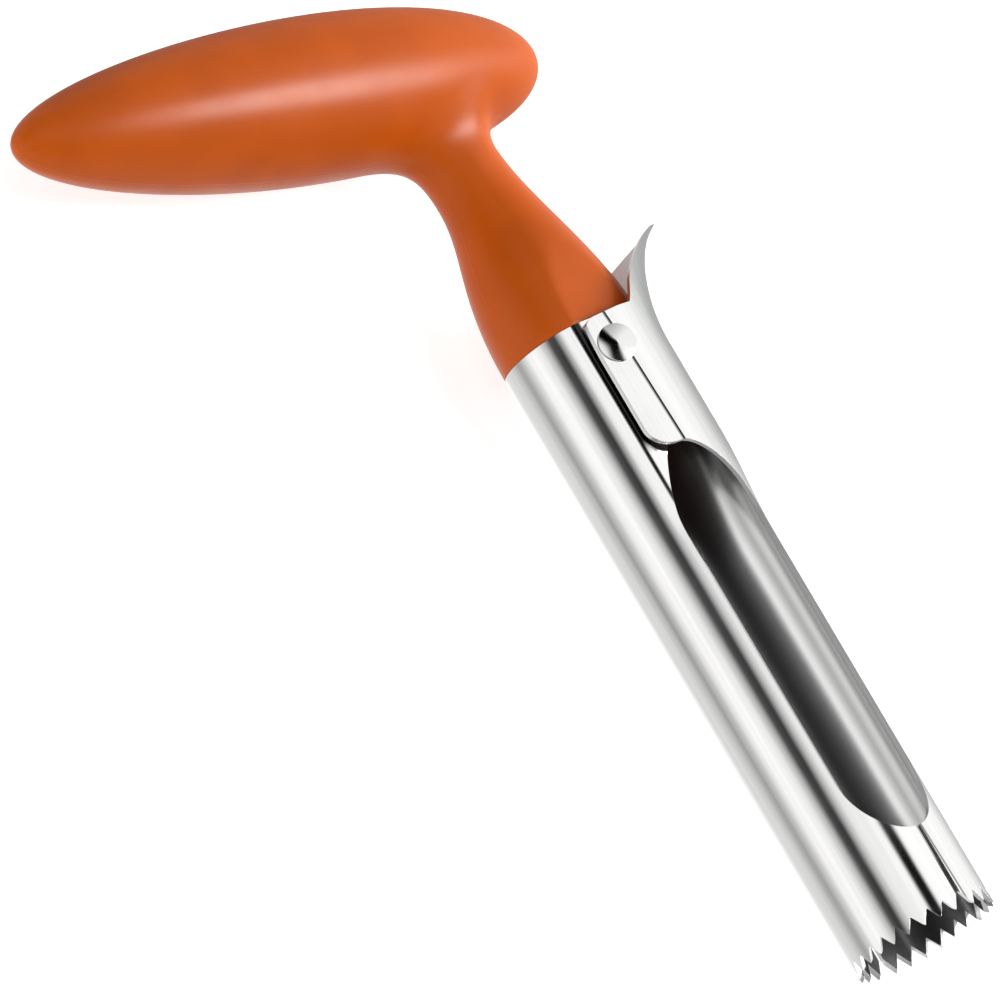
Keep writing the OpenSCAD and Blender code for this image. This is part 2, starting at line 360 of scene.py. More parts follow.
# Control points of the neck's outline at its front and at its back, as (radius, height)
FRONT_MERIDIAN = (
    (SHOULDER_FRONT_R, 0.0),
    (SHOULDER_FRONT_R - SHOULDER_FALL, SHOULDER_FRONT_PULL * WAIST_FRONT_Z),
    (WAIST_FRONT_R + WAIST_FILL, WAIST_FRONT_PULL * WAIST_FRONT_Z),
    (WAIST_FRONT_R, WAIST_FRONT_Z),
)
BACK_MERIDIAN = (
    (TUBE_R, 0.0),
    (TUBE_R, SHOULDER_BACK_PULL * WAIST_BACK_Z),
    (WAIST_BACK_R, WAIST_BACK_PULL * WAIST_BACK_Z),
    (WAIST_BACK_R, WAIST_BACK_Z),
)


def neck_point(a, t):
    """Neck's skin at azimuth a, in degrees, from the shoulder at t = 0 to the waist at t = 1."""
    k = ease((abs(a) - NECK_FRONT_ARC) / NECK_BLEND_ARC)
    meridian = [Vector(f).lerp(Vector(b), k) for f, b in zip(FRONT_MERIDIAN, BACK_MERIDIAN)]
    r, z = bezier(meridian, t)
    return Vector((r * math.cos(math.radians(a)), r * math.sin(math.radians(a)), z))


def web_end(a):
    """Direction on the grip's unit ball where the web ends at azimuth a."""
    reach = WEB_BACK if abs(a) > 90 else WEB_FRONT
    x = grip_share(NECK_S - math.cos(math.radians(a)) * reach)
    y = math.sin(math.radians(a)) * WEB_SIDE / GRIP_WIDE
    return Vector((x, y, -math.sqrt(1 - x * x - y * y)))


def web_point(a, t):
    """Web between the waist and the grip, upright at its foot and along the grip at its end."""
    n = web_end(a)
    foot = neck_point(a, 1)
    edge = grip_point(n)
    away = foot - edge
    normal = grip_normal(n)
    along = (away - normal * away.dot(normal)).normalized()
    pull = WEB_PULL * away.length
    return bezier([foot, foot + Vector((0, 0, pull)), edge + along * pull, edge], t)


def shell_point(a, t):
    """Grip from the web's end at t = 0 to the pole opposite the neck at t = 1."""
    n = web_end(a)
    side = (n - NECK_N * n.dot(NECK_N)).normalized()
    turn = mix(math.acos(n.dot(NECK_N)), math.pi, t)
    return grip_point(NECK_N * math.cos(turn) + side * math.sin(turn))


def soft_flat(y, flat_y, softness):
    """The lesser of two half widths, with a rounded crease between them."""
    gap = y - flat_y
    return (y + flat_y - math.sqrt(gap * gap + softness * softness)) / 2


def press_flat(p):
    """Moves a point of the neck in to the flat on its side, with a softly rounded crease."""
    if p.z > FLAT_H:
        return p
    y = abs(p.y)
    pressed = soft_flat(y, FLAT_Y, FLAT_SOFTNESS)
    fade = ease((FLAT_H - p.z) / FLAT_FADE)
    return Vector((p.x, math.copysign(mix(y, min(y, pressed), fade), p.y), p.z))


def handle_azimuths():
    """Azimuths of the columns round the handle, closest together at its front and back."""
    for i in range(AROUND):
        a = 2 * math.pi * i / AROUND - math.pi
        yield math.degrees(math.atan2(math.sin(a), AROUND_SPREAD * math.cos(a)))


def shoulder_ring(azimuths, share):
    """Ring of points on the rounded edge where the shoulder meets the tube."""
    turn = math.pi / 2 * share
    inset = SHOULDER_ROUND * (1 - math.sin(turn))
    rise = SHOULDER_ROUND * (1 - math.cos(turn))
    ring = []
    for a in azimuths:
        p = press_flat(neck_point(a, 0))
        flat = Vector((p.x, p.y, 0))
        ring.append(flat - flat.normalized() * inset + Vector((0, 0, rise)))
    return ring


def handle_rings():
    """Rings of points from the shoulder's foot up the neck and over the grip."""
    azimuths = list(handle_azimuths())
    rings = [shoulder_ring(azimuths, j / SHOULDER_RINGS) for j in range(SHOULDER_RINGS)]
    for j in range(NECK_RINGS):
        t = mix(NECK_START, 1, j / NECK_RINGS)
        rings.append([press_flat(neck_point(a, t)) for a in azimuths])
    for j in range(WEB_RINGS):
        rings.append([web_point(a, j / WEB_RINGS) for a in azimuths])
    for j in range(GRIP_RINGS):
        rings.append([shell_point(a, j / GRIP_RINGS) for a in azimuths])
    return rings


def build_handle_skin():
    """The orange moulding in view: neck, web and grip in one skin."""
    rings = handle_rings()
    points = [p for ring in rings for p in ring] + [grip_point(-NECK_N)]
    foot = tuple(range(AROUND - 1, -1, -1))
    last = (len(rings) - 1) * AROUND
    pole = len(points) - 1
    cap = [(last + i, last + (i + 1) % AROUND, pole) for i in range(AROUND)]
    faces = [foot] + ring_faces(0, len(rings), AROUND) + cap
    skin = new_piece("handle_moulding", points, faces, "grip_body")
    face_outwards(skin)
    smooth(skin, sharp_angle=50)
    return skin


def build_spigot():
    """The hidden plug in the tube: a round bar with two flats and a flat towards the lever."""
    sections = ((0.0, 0.0), (SPIGOT_LEN - SPIGOT_CHAMFER, 0.0), (SPIGOT_LEN, SPIGOT_CHAMFER))
    points = []
    for depth, inset in sections:
        for i in range(SPIGOT_STEPS):
            a = 2 * math.pi * i / SPIGOT_STEPS
            r = SPIGOT_R - inset
            x = min(r * math.cos(a), SPIGOT_FRONT - inset)
            y = max(-SPIGOT_FLAT + inset, min(SPIGOT_FLAT - inset, r * math.sin(a)))
            points.append((x, y, -depth))
    top = tuple(range(SPIGOT_STEPS))
    last = len(points) - 1
    bottom = tuple(range(last, last - SPIGOT_STEPS, -1))
    faces = [top, bottom] + ring_faces(0, len(sections), SPIGOT_STEPS)
    spigot = new_piece("handle_spigot", points, faces, "grip_body")
    face_outwards(spigot)
    smooth(spigot, sharp_angle=35)
    return spigot


# Blades: each is a shell over a grid, with columns round the tube and rows along it

def tooth_bottom(u, ground):
    """Height of the toothed edge at column share u from -1 to 1: roots on the seams.

    The inner face ends higher by what is ground off it."""
    phase = (u + 1) / 2 * TEETH_PER_BLADE % 1
    to_root = min(phase, 1 - phase) * 2
    climb = min(1.0, to_root / (1 - TIP_SHARE))
    return -ROOT_Z - TOOTH_H * climb + ground


def ear_toe():
    """The ears' rounded lower corner."""
    return arc_points(EAR_TOE_R - EAR_REACH, EAR_TOE_R - EAR_BOTTOM, EAR_TOE_R, 180, 270, CORNER_STEPS)


def window_toe(side):
    """Round lower end of a window down to the seam, on one side of it."""
    turns = [math.radians(mix(0, 90, i / TOE_STEPS)) for i in range(TOE_STEPS + 1)]
    curve = [(WINDOW_HALF * math.cos(a), -WINDOW_BOTTOM - WINDOW_TOE * math.sin(a)) for a in turns]
    return [(side * max(x, HALF_SEAM), z) for x, z in curve]


def fixed_edge():
    """Edge of the fixed blade in the side view, from the top down."""
    centre_x = FIXED_ARCH_R - WINDOW_HALF
    end = math.degrees(math.acos(-(centre_x + HALF_SEAM) / FIXED_ARCH_R))
    arch = arc_points(centre_x, -WINDOW_TOP, FIXED_ARCH_R, end, 180, TOE_STEPS)
    return [(-HALF_SEAM, 0.0)] + arch + window_toe(-1) + [(-HALF_SEAM, -ROOT_Z)]


def lever_edge():
    """Edge of the lever below its tab's bend in the side view, from the top down."""
    toe_x = EAR_TOE_R - EAR_REACH
    arch = bezier_points(
        ((toe_x, -EAR_BOTTOM), (toe_x + LEVER_ARCH_LEAD, -EAR_BOTTOM),
         (WINDOW_HALF, LEVER_ARCH_DROP - WINDOW_TOP), (WINDOW_HALF, -WINDOW_TOP)), ARCH_STEPS)
    return [(-EAR_REACH, -TAB_BEND_DROP)] + ear_toe() + arch[1:] + window_toe(1) + [(HALF_SEAM, -ROOT_Z)]


def fixed_point(u, edge_x, z, r, flat_y):
    """Point of the fixed blade at radius r, at column share u between its two edges."""
    reach = math.acos(max(-1.0, min(1.0, -edge_x / r)))
    a = u * reach
    x = -r * math.cos(a)
    y = r * math.sin(a)
    fade = ease((z + BLADE_FLAT_END) / BLADE_FLAT_FADE) * ease(abs(y) - BLADE_FLAT_Y + BLADE_FLAT_BLEND)
    pressed = mix(abs(y), min(abs(y), soft_flat(abs(y), flat_y, BLADE_CREASE)), fade)
    return Vector((x, math.copysign(pressed, y), z))


def lever_radius(z):
    """Outer radius of the lever: the tube's, widening to the saddle's."""
    k = ease((z + EAR_BOTTOM + TAPER_H) / TAPER_H)
    return mix(TUBE_R, SADDLE_OUT, k)


def ear_radius(a, r):
    """Distance from the tube's axis at section angle a, less where the ear is flat."""
    back = abs(a) - math.pi / 2
    if back < EAR_FLAT_FROM:
        return r
    return r - SADDLE_OUT * (1 - EAR_CHORD / math.cos(back - EAR_TILT))


def lever_point(u, edge_x, z, r):
    """Point of the lever at radius r, at column share u between its two edges."""
    a = u * math.acos(max(-1.0, min(1.0, edge_x / r)))
    r = ear_radius(a, r)
    return Vector((r * math.cos(a), r * math.sin(a), z))


def tab_edge():
    """Top edge of the ears and the tab in the side view, with rising x."""
    corner = arc_points(
        EAR_TOP_R - EAR_REACH, -EAR_TOP_R - SADDLE_DROP, EAR_TOP_R, 180, 90, CORNER_STEPS)
    tip = (TAB_AXIS_X - TAB_BEND_R * math.cos(TAB_BEND), TAB_BEND_R * math.sin(TAB_BEND) - TAB_BEND_DROP)
    return corner + bezier_points(((TAB_ROOT, -SADDLE_DROP), TAB_LOW, TAB_HIGH, tip), TAB_STEPS)


TAB_EDGE = tab_edge()


def bent_point(a, r, turn):
    """Point of the bent sheet: section angle a, radius r, bent through the angle turn."""
    r = ear_radius(a, r)
    rho = TAB_AXIS_X - r * math.cos(a)
    z = rho * math.sin(turn) - TAB_BEND_DROP
    z += TAB_LIFT * ease(z / TAB_HIGH[1])
    return Vector((TAB_AXIS_X - rho * math.cos(turn), r * math.sin(a), z))


def bend_limit(a, r):
    """How far the bend goes at section angle a before it meets the tab's edge."""
    low, high = 0.0, TAB_BEND
    for _ in range(BEND_HALVINGS):
        middle = (low + high) / 2
        p = bent_point(a, r, middle)
        slant = TAB_SLANT * p.y * ease((p.x - TAB_ROOT) / TAB_SLANT_FADE)
        if p.z < table_value(TAB_EDGE, p.x) - slant and p.x < TAB_EDGE[-1][0]:
            low = middle
        else:
            high = middle
    return low


def row_heights(edge, straight_step):
    """Heights of the rows along a blade: the outline's own points, with steps between them."""
    heights = []
    for (x0, z0), (x1, z1) in zip(edge, edge[1:]):
        steps = max(1, math.ceil((z0 - z1) / straight_step))
        heights += [(mix(x0, x1, i / steps), mix(z0, z1, i / steps)) for i in range(steps)]
    return heights + [edge[-1]]


def shell(name, outer, inner, body):
    """A closed sheet from two grids of points of the same size."""
    rows, columns = len(outer), len(outer[0])
    points = [p for row in outer for p in row] + [p for row in inner for p in row]
    back = rows * columns
    faces = []
    for j in range(rows - 1):
        for i in range(columns - 1):
            a = j * columns + i
            faces.append((a, a + 1, a + columns + 1, a + columns))
    faces += [tuple(back + k for k in reversed(quad)) for quad in faces]
    inside = range(len(faces) // 2, len(faces))
    rim = [(j * columns, (j + 1) * columns) for j in range(rows - 1)]
    rim += [((rows - 1) * columns + i, (rows - 1) * columns + i + 1) for i in range(columns - 1)]
    rim += [((j + 1) * columns + columns - 1, j * columns + columns - 1) for j in range(rows - 1)]
    rim += [(i + 1, i) for i in range(columns - 1)]
    faces += [(a, b, back + b, back + a) for a, b in rim]
    piece = new_piece(name, points, faces, body)
    for i in inside:
        piece.data.polygons[i].material_index = INSIDE_FINISH
    for i in range(inside.stop, len(faces)):
        piece.data.polygons[i].material_index = CUT_FINISH
    face_outwards(piece)
    bevel(piece, EDGE_ROUND, EDGE_SEGMENTS, angle=40)
    smooth(piece, sharp_angle=40)
    return piece


def shares():
    """Shares of the columns across a blade, from one edge at -1 to the other at 1."""
    return [2 * i / COLUMNS - 1 for i in range(COLUMNS + 1)]


def toothed_rows(point, ground):
    """Rows from the last full row down to the teeth."""
    rows = [[point(u, TEETH_START) for u in shares()]]
    for j in range(1, TOOTH_ROWS + 1):
        share = j / TOOTH_ROWS
        rows.append([point(u, mix(TEETH_START, tooth_bottom(u, ground), share)) for u in shares()])
    return rows


def blade_rows(edge, fine_row, fine_end):
    """The outline's points above the teeth, close together down to a height and wide below it."""
    rows = [(x, z) for x, z in row_heights(edge, fine_row) if z > -fine_end]
    return rows + [(x, z) for x, z in row_heights(edge, STRAIGHT_ROW) if TEETH_START < z <= -fine_end]


def build_fixed_blade():
    """Half of the tube on the side away from the thumb tab."""
    heights = blade_rows(fixed_edge(), FIXED_ROW, WINDOW_TOP)
    grids = []
    for r, flat, ground in ((TUBE_R, BLADE_FLAT_Y, 0.0), (BORE_R, BLADE_FLAT_Y - SHEET, TOOTH_GRIND)):
        def at(u, z):
            return fixed_point(u, -HALF_SEAM, z, r, flat)
        rows = [[fixed_point(u, x, z, r, flat) for u in shares()] for x, z in heights]
        grids.append(rows + toothed_rows(at, ground))
    return shell("fixed_blade_sheet", grids[0], grids[1], "grip_body")


def tab_rows(r):
    """Rows of the bent top of the lever at radius r, from the tab's edge down to the bend."""
    ear_angle = math.acos(-EAR_REACH / r)
    limits = [bend_limit(u * ear_angle, r) for u in shares()]
    rows = []
    for j in range(TAB_ROWS):
        share = 1 - j / TAB_ROWS
        rows.append([bent_point(u * ear_angle, r, share * limit) for u, limit in zip(shares(), limits)])
    return rows


def build_moving_blade():
    """The lever: the other half of the tube, its saddle with two ears and the bent thumb tab."""
    heights = blade_rows(lever_edge(), SADDLE_ROW, SADDLE_END)
    grids = []
    for inset, ground in ((0.0, 0.0), (SHEET, TOOTH_GRIND)):
        def at(u, z):
            return lever_point(u, HALF_SEAM, z, TUBE_R - inset)
        rows = tab_rows(SADDLE_OUT - inset)
        rows += [[lever_point(u, x, z, lever_radius(z) - inset) for u in shares()] for x, z in heights]
        grids.append(rows + toothed_rows(at, ground))
    return shell("moving_blade_sheet", grids[0], grids[1], "lever")


# Rivet

def turned_rings(profile, seat, axis):
    """Rings of points for a (radius, height) profile turned about an axis at its seat."""
    across = axis.cross(Vector((0, 0, 1))).normalized()
    turns = [2 * math.pi * i / RIVET_STEPS for i in range(RIVET_STEPS)]
    rings = []
    for r, h in profile:
        middle = seat + axis * h
        rings.append([middle + across * r * math.cos(a) + Vector((0, 0, r * math.sin(a))) for a in turns])
    return rings


def ear_seat(side):
    """Middle of the flat ear's outer face at the rivet, and the way it faces."""
    chord_y = (SADDLE_OUT * EAR_CHORD + RIVET_X * math.sin(EAR_TILT)) / math.cos(EAR_TILT)
    facing = Vector((-math.sin(EAR_TILT), side * math.cos(EAR_TILT), 0))
    return Vector((RIVET_X, side * chord_y, RIVET_Z)), facing


def head_profile():
    """Coned head of the rivet, as (radius, height) from the ear outwards."""
    top = HEAD_RIM + HEAD_CONE
    corner_in, corner_down = HEAD_CORNER
    return [
        (0.0, 0.0), (HEAD_R - RIVET_FOOT, 0.0), (HEAD_R, HEAD_ROUND), (HEAD_R, HEAD_RIM - HEAD_ROUND),
        (HEAD_R - corner_in, HEAD_RIM - corner_down), (HEAD_R - HEAD_ROUND, HEAD_RIM),
        (2 * HEAD_TIP_R, top - HEAD_TIP_FALL), (HEAD_TIP_R, top), (0.0, top)]


def tail_profile():
    """Low formed tail of the rivet, as (radius, height) from the ear outwards."""
    corner_in, corner_down = TAIL_CORNER
    return [
        (0.0, 0.0), (TAIL_R - RIVET_FOOT, 0.0), (TAIL_R, TAIL_H / 2),
        (TAIL_R - corner_in, TAIL_H - corner_down), (TAIL_R - TAIL_DOME, TAIL_H), (0.0, TAIL_H)]


def build_rivet():
    """A coned head on the near ear, a low formed tail on the far one and the shank between."""
    near, near_way = ear_seat(-1)
    far, far_way = ear_seat(1)
    span = far.y - near.y
    shank = [(0.0, 0.0), (RIVET_R, 0.0), (RIVET_R, span), (0.0, span)]
    turned = (
        (head_profile(), near, near_way),
        (tail_profile(), far, far_way),
        (shank, near, Vector((0, 1, 0))),
    )
    points, faces = [], []
    for profile, seat, axis in turned:
        faces += ring_faces(len(points), len(profile), RIVET_STEPS)
        points += [p for ring in turned_rings(profile, seat, axis) for p in ring]
    rivet = new_piece("rivet_turned", points, faces, "grip_body")
    merge_poles(rivet)
    face_outwards(rivet)
    smooth(rivet, sharp_angle=30)
    return rivet


def merge_poles(piece):
    """Joins the points that lie on top of each other at the ends of a turned piece."""
    work = bmesh.new()
    work.from_mesh(piece.data)
    bmesh.ops.remove_doubles(work, verts=work.verts, dist=1e-7)
    work.to_mesh(piece.data)
    work.free()


# Camera, floor and light

def place_camera():
    """The photograph looks at the near side from behind the handle, from far away."""
    up = CAMERA_BACK.cross(CAMERA_RIGHT).normalized()
    right = up.cross(CAMERA_BACK).normalized()
    shoulder = Vector(lay((0, 0, 0)))
    target = shoulder - right * AIM_LEFT - up * AIM_DOWN
    width = PICTURE_SIZE / PIXELS_PER_MM / 1000
    data = bpy.data.cameras.new("camera")
    data.sensor_width = SENSOR
    data.lens = SENSOR * CAMERA_DISTANCE / width
    data.clip_end = FAR_CLIP
    camera = bpy.data.objects.new("camera", data)
    bpy.context.scene.collection.objects.link(camera)
    turn = Matrix((right, up, CAMERA_BACK)).transposed().to_4x4()
    camera.matrix_world = Matrix.Translation(target + CAMERA_BACK * CAMERA_DISTANCE) @ turn
    bpy.context.scene.camera = camera


def build_floor():
    """The pale table top that the corer lies on."""
    height = -GRIP_WIDE / 1000 - FLOOR_GAP
    half = FLOOR_HALF
    mesh = bpy.data.meshes.new("floor")
    corners = [(-half, -half, height), (half, -half, height), (half, half, height), (-half, half, height)]
    mesh.from_pydata(corners, [], [(0, 1, 2, 3)])
    floor = bpy.data.objects.new("floor", mesh)
    bpy.context.scene.collection.objects.link(floor)
    # The steel mirrors the light tent's own lower half, not the table top
    floor.visible_glossy = False
    paint = bpy.data.materials.new("pale_floor")
    paint.use_nodes = True
    shader = paint.node_tree.nodes["Principled BSDF"]
    shader.inputs["Base Color"].default_value = FLOOR_COLOUR
    shader.inputs["Roughness"].default_value = FLOOR_ROUGHNESS
    shader.inputs["Emission Color"].default_value = (1, 1, 1, 1)
    shader.inputs["Emission Strength"].default_value = FLOOR_GLOW
    mesh.materials.append(paint)


def put(tree, socket, value):
    """Links a socket to an input, or sets a plain value on it."""
    if isinstance(value, bpy.types.NodeSocket):
        tree.links.new(value, socket)
    else:
        socket.default_value = value


def add(tree, kind, **inputs):
    """A new shader node with values or links on the inputs of those names."""
    node = tree.nodes.new("ShaderNode" + kind)
    for name, value in inputs.items():
        put(tree, node.inputs[name.replace("_", " ")], value)
    return node


def calc(tree, operation, *values):
    """A sum, product or other reckoning of values and links."""
    node = tree.nodes.new("ShaderNodeMath")
    node.operation = operation
    for socket, value in zip(node.inputs, values):
        put(tree, socket, value)
    return node.outputs[0]


def spread(tree, value, low, high, to_low=0.0, to_high=1.0):
    """Smooth step of a value from one range to another."""
    node = tree.nodes.new("ShaderNodeMapRange")
    node.interpolation_type = "SMOOTHSTEP"
    for socket, number in zip(node.inputs, (value, low, high, to_low, to_high)):
        put(tree, socket, number)
    return node.outputs["Result"]


def tent_colour(tree, direction):
    """Colour of the tent's bands by the angle round the tube, from the way that faces the picture.

    The tube mirrors light from twice the azimuth of the place on it."""
    x, z = direction.outputs["X"], direction.outputs["Z"]
    cos, sin = math.cos(TENT_TURN), math.sin(TENT_TURN)
    across = calc(tree, "ADD", calc(tree, "MULTIPLY", x, cos), calc(tree, "MULTIPLY", z, sin))
    upright = calc(tree, "SUBTRACT", calc(tree, "MULTIPLY", z, cos), calc(tree, "MULTIPLY", x, sin))
    angle = calc(tree, "ARCTAN2", across, upright)
    ramp = add(tree, "ValToRGB", Fac=calc(tree, "MULTIPLY_ADD", angle, 0.5 / math.pi, 0.5))
    ramp.color_ramp.interpolation = "LINEAR"
    stops = ramp.color_ramp.elements
    while len(stops) < len(TENT_BANDS):
        stops.new(1.0)
    for stop, (azimuth, light) in zip(stops, TENT_BANDS):
        stop.position = (azimuth + 90) / 180
        stop.color = (light, light, light, 1)
    return ramp.outputs["Color"]


def put_up_tent():
    """Bands along the tube, dimmer towards both ends, and a plain pale backdrop."""
    world = bpy.data.worlds.new("light_tent")
    world.use_nodes = True
    bpy.context.scene.world = world
    tree = world.node_tree
    direction = add(tree, "SeparateXYZ", Vector=add(tree, "TexCoord").outputs["Generated"])
    y = calc(tree, "ABSOLUTE", direction.outputs["Y"])
    end_fade = spread(tree, y, *TENT_END_FADE, 1.0, TENT_ENDS)
    tent = tree.nodes["Background"]
    put(tree, tent.inputs["Color"], tent_colour(tree, direction))
    put(tree, tent.inputs["Strength"], calc(tree, "MULTIPLY", end_fade, TENT_STRENGTH))
    backdrop = add(tree, "Background", Color=BACKDROP_COLOUR, Strength=1.0)
    choice = add(tree, "MixShader", Fac=add(tree, "LightPath").outputs["Is Camera Ray"])
    put(tree, choice.inputs[1], tent.outputs[0])
    put(tree, choice.inputs[2], backdrop.outputs[0])
    put(tree, tree.nodes["World Output"].inputs["Surface"], choice.outputs[0])


def hang_softbox(name, direction, length, width, power):
    """A long softbox that faces the middle of the grip, its length along X."""
    aim = Vector(lay(GRIP_MID))
    away = Vector(direction).normalized()
    data = bpy.data.lights.new(name, "AREA")
    data.shape = "RECTANGLE"
    data.size = length
    data.size_y = width
    data.energy = power
    light = bpy.data.objects.new(name, data)
    bpy.context.scene.collection.objects.link(light)
    across = Vector((0, 1, 0)).cross(away).normalized()
    turn = Matrix((across, away.cross(across), away)).transposed().to_4x4()
    light.matrix_world = Matrix.Translation(aim + away * LAMP_DISTANCE) @ turn
    return light


def light_studio():
    """The tent that the steel mirrors and the lamps on the grip."""
    bpy.context.scene.view_settings.view_transform = "Standard"
    put_up_tent()
    hang_softbox(*HIGHLIGHT_LAMP).visible_diffuse = False
    for lamp in FILL_LAMPS:
        hang_softbox(*lamp).visible_glossy = False


# Finishes: patterns are laid out in millimetres, heights of bumps are in metres

# Sockets for colours on a Mix node, which has others of the same names for numbers and vectors
MIX_FIRST = 6
MIX_SECOND = 7
MIX_RESULT = 2


def new_group(name, inputs, outputs):
    """An empty shader group, from (name, kind) inputs and outputs, and its inner ends."""
    group = bpy.data.node_groups.new(name, "ShaderNodeTree")
    for label, kind in inputs:
        group.interface.new_socket(label, in_out="INPUT", socket_type="NodeSocket" + kind)
    for label, kind in outputs:
        group.interface.new_socket(label, in_out="OUTPUT", socket_type="NodeSocket" + kind)
    return group, group.nodes.new("NodeGroupInput").outputs, group.nodes.new("NodeGroupOutput").inputs


def use_group(tree, group, **inputs):
    """Places a shader group and gives its outputs."""
    node = tree.nodes.new("ShaderNodeGroup")
    node.node_tree = group
    for name, value in inputs.items():
        put(tree, node.inputs[name.replace("_", " ")], value)
    return node.outputs


def noise(tree, place, size, detail):
    """Noise with grains of a size in millimetres, in the range 0 to 1."""
    return add(tree, "TexNoise", Vector=place, Scale=1 / size, Detail=detail).outputs["Fac"]


def millimetres(tree):
    """Object coordinates in millimetres."""
    place = add(tree, "TexCoord").outputs["Object"]
    return add(tree, "Mapping", Vector=place, Scale=(1000, 1000, 1000)).outputs["Vector"]


def make_handling_marks():
    """Faint smears of use and short hairline scratches, for every finish."""
    group, given, result = new_group(
        "handling_marks", [("Place", "Vector")], [("Smear", "Float"), ("Scratch", "Float")])
    cloud = noise(group, given["Place"], size=9.0, detail=3.0)
    put(group, result["Smear"], spread(group, cloud, low=0.42, high=0.68))
    turned = add(group, "Mapping", Vector=given["Place"], Rotation=(0.4, 0.7, 0.3), Scale=(0.12, 3.0, 3.0))
    line = noise(group, turned.outputs["Vector"], size=0.6, detail=1.0)
    patch = noise(group, given["Place"], size=5.0, detail=1.0)
    hair = spread(group, line, low=0.7, high=0.76)
    patchy = spread(group, patch, low=0.5, high=0.6)
    put(group, result["Scratch"], calc(group, "MULTIPLY", hair, patchy))
    return group


def make_drawn_grain():
    """Fine streaks that run along the tube, as the polishing belt leaves them."""
    group, given, result = new_group(
        "drawn_grain", [("Place", "Vector")], [("Streak", "Float"), ("Fine", "Float")])
    wide = add(group, "Mapping", Vector=given["Place"], Scale=(1.4, 0.02, 1.4))
    fine = add(group, "Mapping", Vector=given["Place"], Scale=(7.0, 0.12, 7.0))
    put(group, result["Streak"], noise(group, wide.outputs["Vector"], size=1.0, detail=3.0))
    put(group, result["Fine"], noise(group, fine.outputs["Vector"], size=1.0, detail=2.0))
    return group


def new_finish(name):
    """An empty material, its node tree and its shader."""
    finish = bpy.data.materials.new(name)
    finish.use_nodes = True
    tree = finish.node_tree
    return finish, tree, tree.nodes["Principled BSDF"]


def emboss(tree, shader, height):
    """Puts a height in metres on the surface."""
    bump = add(tree, "Bump", Strength=1.0, Distance=1.0, Height=height)
    put(tree, shader.inputs["Normal"], bump.outputs["Normal"])


def blend_colours(tree, share, first, second, blending="MIX"):
    """Blends the second colour into the first by a share."""
    node = tree.nodes.new("ShaderNodeMix")
    node.data_type = "RGBA"
    node.blend_type = blending
    put(tree, node.inputs["Factor"], share)
    put(tree, node.inputs[MIX_FIRST], first)
    put(tree, node.inputs[MIX_SECOND], second)
    return node.outputs[MIX_RESULT]


# Fine crease along the saddle: a shallow groove in the bump, with painted shade in it
CREASE_X = -1.55
CREASE_SLANT = -0.03
CREASE_HALF = 0.36
CREASE_DEPTH = 24e-6
CREASE_PAINTED_SHADE = (0.2, 0.2, 0.2, 1)

# Painted shade in the slot beside each ear: where it fades in and out, behind, in front, to the side and
# upwards
SLOT_BACK = (-7.2, -6.8)
SLOT_FRONT = (-6.0, -5.4)
SLOT_SIDE = (9.3, 9.8)
SLOT_FOOT = (ROOT_Z - EAR_BOTTOM, ROOT_Z - EAR_BOTTOM + 3)
SLOT_PAINTED_SHADE = (0.03, 0.03, 0.03, 1)

# Painted shade on the saddle's crown, darker than its ears: where it fades in, across and along the tube
CROWN_FADE = (0.0, 9.0)
SADDLE_FADE = (ROOT_Z - WINDOW_TOP, ROOT_Z - EAR_BOTTOM)
SADDLE_PAINTED_SHADE = (0.52, 0.53, 0.52, 1)

# Inside of the lever, with painted light and shade: where its painted lit half and its tab begin, across
# and along the tube
INSIDE_FADE = (-5.5, -1.5)
TAB_FADE = (ROOT_Z - TAB_BEND_DROP, ROOT_Z - 2)
INSIDE_PAINTED_SHADE = (0.42, 0.42, 0.42, 1)
INSIDE_ROUGHNESS = 0.2
TAB_ROUGHENING = 0.25

# Polished sheet
STREAK_ROUGHENING = 0.05
SMEAR_ROUGHENING = 0.035
SHEET_SCRATCH = 0.5e-6

# Turned rivet
RING_DARK = (0.74, 0.74, 0.73, 1)
RING_LIGHT = (0.82, 0.82, 0.81, 1)
RING_PITCH = 0.16
RING_DEPTH = 0.4e-6
RIVET_ROUGHNESS = 0.07
RIVET_SMEAR = 0.04
RIVET_SCRATCH = 1e-6

# Orange moulding
ORANGE_DEEP = (0.405, 0.066, 0.002, 1)
ORANGE_LIGHT = (0.445, 0.0735, 0.002, 1)
ORANGE_SPECULAR = 0.17
ORANGE_ROUGHNESS = 0.33
SPECKLE_ROUGHENING = 0.1
SMEAR_POLISH = 0.05
MOULD_TEXTURE = 15e-6
MOULD_SCRATCH = 1.5e-6
PARTING_HEIGHT = 30e-6
PARTING_FADE = (0.06, 0.2)


def crease_line(tree, place):
    """Share of the fine crease along the saddle, where its ears turn flat."""
    parts = add(tree, "SeparateXYZ", Vector=place)
    rise = calc(tree, "SUBTRACT", parts.outputs["Y"], ROOT_Z - EAR_BOTTOM)
    middle = calc(tree, "MULTIPLY_ADD", rise, CREASE_SLANT, CREASE_X)
    off = calc(tree, "ABSOLUTE", calc(tree, "SUBTRACT", parts.outputs["X"], middle))
    return spread(tree, off, 0.0, CREASE_HALF, 1.0, 0.0)


def paint_slot_shade(tree, place, colour):
    """Painted shade on the fixed blade's steel in the narrow slot beside each ear."""
    parts = add(tree, "SeparateXYZ", Vector=place)
    x = parts.outputs["X"]
    across = calc(tree, "MULTIPLY", spread(tree, x, *SLOT_BACK), spread(tree, x, *SLOT_FRONT, 1.0, 0.0))
    side = spread(tree, calc(tree, "ABSOLUTE", parts.outputs["Z"]), *SLOT_SIDE)
    along = spread(tree, parts.outputs["Y"], *SLOT_FOOT)
    share = calc(tree, "MULTIPLY", calc(tree, "MULTIPLY", across, side), along)
    return blend_colours(tree, share, colour, SLOT_PAINTED_SHADE)


